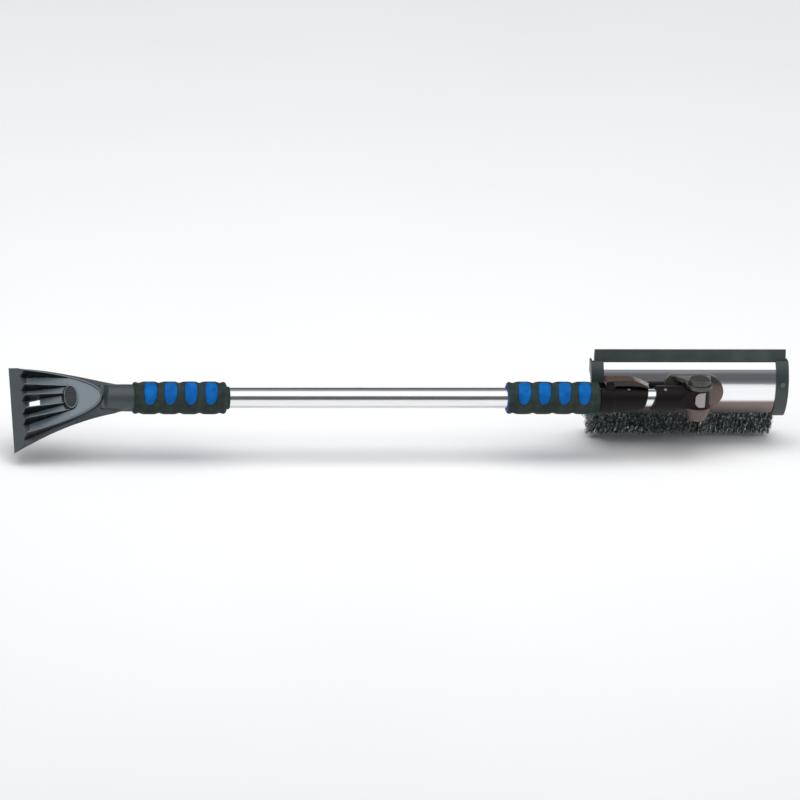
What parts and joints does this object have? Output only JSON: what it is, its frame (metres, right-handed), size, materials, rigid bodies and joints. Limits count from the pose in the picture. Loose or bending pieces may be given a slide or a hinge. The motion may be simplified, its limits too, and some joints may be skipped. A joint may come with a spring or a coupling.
{
  "type": "telescopic snow broom",
  "caption": "Telescopic snow broom: ice scraper with hang slot, two foam grips, cam lock, and a swivelling head with brush and squeegee.",
  "frame": {"origin": "centre of the scraper's hang slot, at mid thickness of the panel the slot goes through", "axes": "+X along the handle from the scraper to the head; +Z along the head's pivot pin towards its push button; -Y is the side that faces a person who holds the broom"},
  "size_m": [0.9527, 0.1165, 0.1202],
  "materials": {
    "tube_aluminium": "fine drawn, satin anodised",
    "polished_aluminium": "bright extruded",
    "plate_aluminium": "mill finish",
    "scraper_plastic": "moulded, slightly glossy",
    "badge_plastic": "fine texture",
    "screw_steel": "bright",
    "machined_steel": "turned",
    "spring_steel": "drawn wire",
    "blue_foam": "closed-cell foam, smooth skin",
    "dark_foam": "closed-cell foam, fine grain",
    "black_plastic": "moulded, semi-gloss",
    "brown_plastic": "moulded, semi-gloss",
    "bush_plastic": "smooth low-friction",
    "cap_plastic": "moulded, semi-gloss",
    "squeegee_rubber": "smooth, slightly shiny",
    "block_plastic": "moulded",
    "bristle_filament": "crimped filaments"
  },
  "bodies": {
    "handle": {"outer_tube": "tube_aluminium", "scraper_head": "scraper_plastic", "oval_badge": "badge_plastic", "scraper_screw": "screw_steel", "rear_grip_core": "blue_foam", "rear_grip_cover": "dark_foam", "front_grip_core": "blue_foam", "front_grip_cover": "dark_foam", "lock_collar": "black_plastic", "collar_bush": "bush_plastic", "collar_rivets": "screw_steel", "lever_pin": "screw_steel"},
    "lever": {"cam_lever": "black_plastic"},
    "shoe": {"brake_shoe": "black_plastic"},
    "extension": {"inner_tube": "tube_aluminium", "guide_plug": "bush_plastic", "pivot_arm": "black_plastic", "knuckle_plate": "plate_aluminium", "arm_rivet": "screw_steel"},
    "head": {"pivot_base": "brown_plastic", "pivot_axle": "machined_steel", "axle_screw": "screw_steel", "button_spring": "spring_steel", "backing_plate": "plate_aluminium", "base_screws": "screw_steel", "back_shell": "polished_aluminium", "left_end_cap": "cap_plastic", "right_end_cap": "cap_plastic", "cap_screws": "screw_steel", "squeegee_blade": "squeegee_rubber", "brush_block": "block_plastic", "bristles": "bristle_filament"},
    "button": {"pivot_button": "brown_plastic"}
  },
  "joints": [
    {"name": "tube_slide", "type": "slide", "parent": "handle", "child": "extension", "axis": [1, 0, 0], "range_m": [0, 0.35]},
    {"name": "head_pivot", "type": "hinge", "parent": "extension", "child": "head", "pos_m": [0.80895, -0.01252, 0.01546], "axis": [0, 0, 1], "range_deg": [-180, 0]},
    {"name": "button_press", "type": "slide", "parent": "head", "child": "button", "axis": [0, 0, -1], "range_m": [0, 0.003], "stiffness_N_per_m": 400, "springref_m": -0.002, "deforming": ["button_spring"]},
    {"name": "lever_open", "type": "hinge", "parent": "handle", "child": "lever", "pos_m": [0.69745, -0.01252, 0.03496], "axis": [0, -1, 0], "range_deg": [0, 105]},
    {"name": "shoe_lift", "type": "slide", "parent": "handle", "child": "shoe", "axis": [0, 0, 1], "range_m": [0, 0.0003]}
  ],
  "couplings": [
    {"joint": "shoe_lift", "follows": "lever_open", "m_per_rad": 0.00010913}
  ]
}
